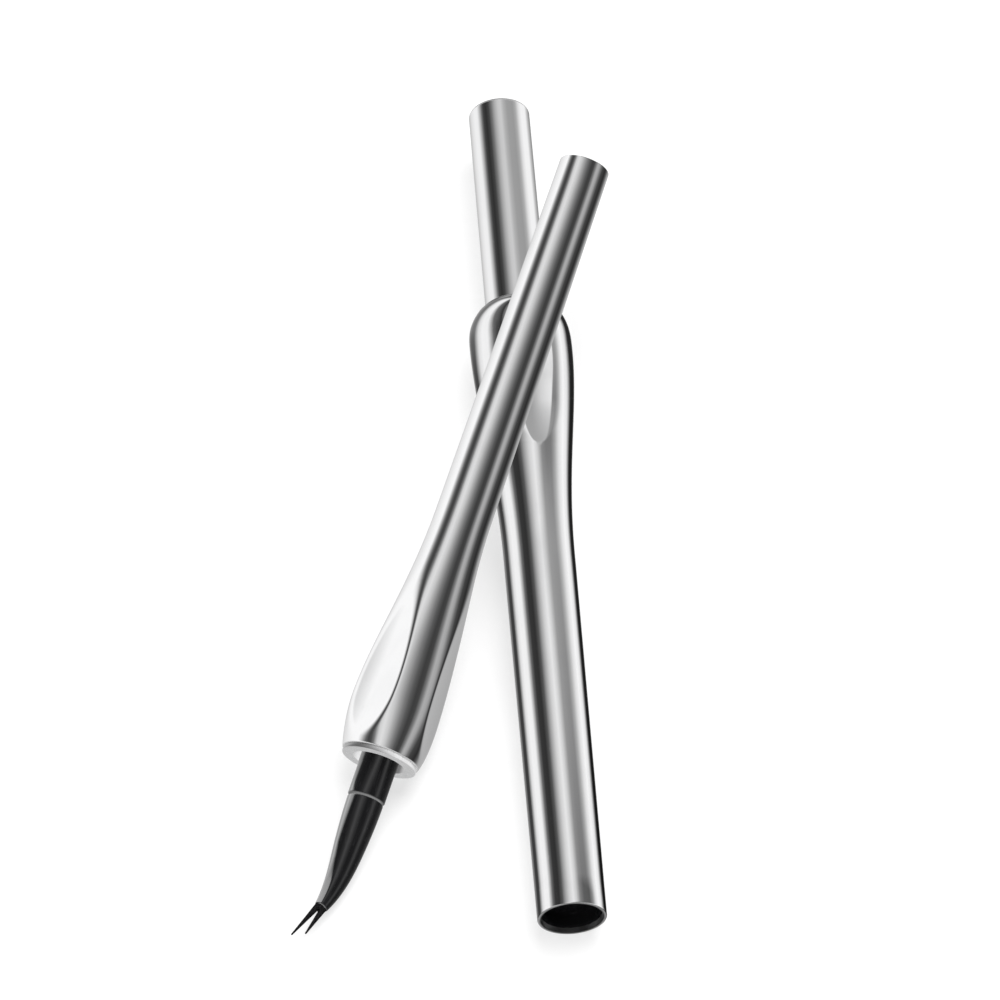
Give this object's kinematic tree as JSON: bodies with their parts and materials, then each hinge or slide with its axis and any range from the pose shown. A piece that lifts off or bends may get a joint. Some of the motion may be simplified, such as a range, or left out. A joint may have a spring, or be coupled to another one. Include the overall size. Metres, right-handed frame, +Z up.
{
  "type": "liquid eyebrow pencil",
  "caption": "Liquid eyebrow pencil pair: a capped chrome pencil lying down, an open one resting across it, with scooped grip, bent black nose and forked nib.",
  "frame": {"origin": "on the table, under the centre of the pair's bounding box", "axes": "+Z up, +Y from the rear end of the capped pencil towards its cap, +X to the right seen from that rear end"},
  "size_m": [0.047, 0.1436, 0.0307],
  "materials": {
    "chrome": "mirror plated",
    "satin_ring": "satin",
    "black_gloss": "glossy",
    "nib_fibre": "matte fibre",
    "ink_fibre": "soaked fibre",
    "milky_plastic": "milky"
  },
  "bodies": {
    "capped_pencil": {"capped_barrel": "chrome", "capped_bushing": "satin_ring", "capped_collar": "black_gloss", "capped_nose": "black_gloss", "capped_nib": "nib_fibre", "capped_wick": "nib_fibre", "capped_reservoir": "ink_fibre", "capped_tank": "milky_plastic", "capped_end_plug": "black_gloss"},
    "cap": {"cap_shell": "chrome", "cap_liner": "milky_plastic"},
    "open_pencil": {"open_barrel": "chrome", "open_bushing": "satin_ring", "open_collar": "black_gloss", "open_nose": "black_gloss", "open_nib": "nib_fibre", "open_wick": "nib_fibre", "open_reservoir": "ink_fibre", "open_tank": "milky_plastic", "open_end_plug": "black_gloss"}
  },
  "joints": [
    {"name": "cap_pull", "type": "slide", "parent": "capped_pencil", "child": "cap", "axis": [-0.0746, 0.9968, 0.03], "range_m": [0, 0.045]},
    {"name": "open_lift", "type": "slide", "parent": "capped_pencil", "child": "open_pencil", "axis": [0, 0, 1], "range_m": [0, 0.05]}
  ]
}
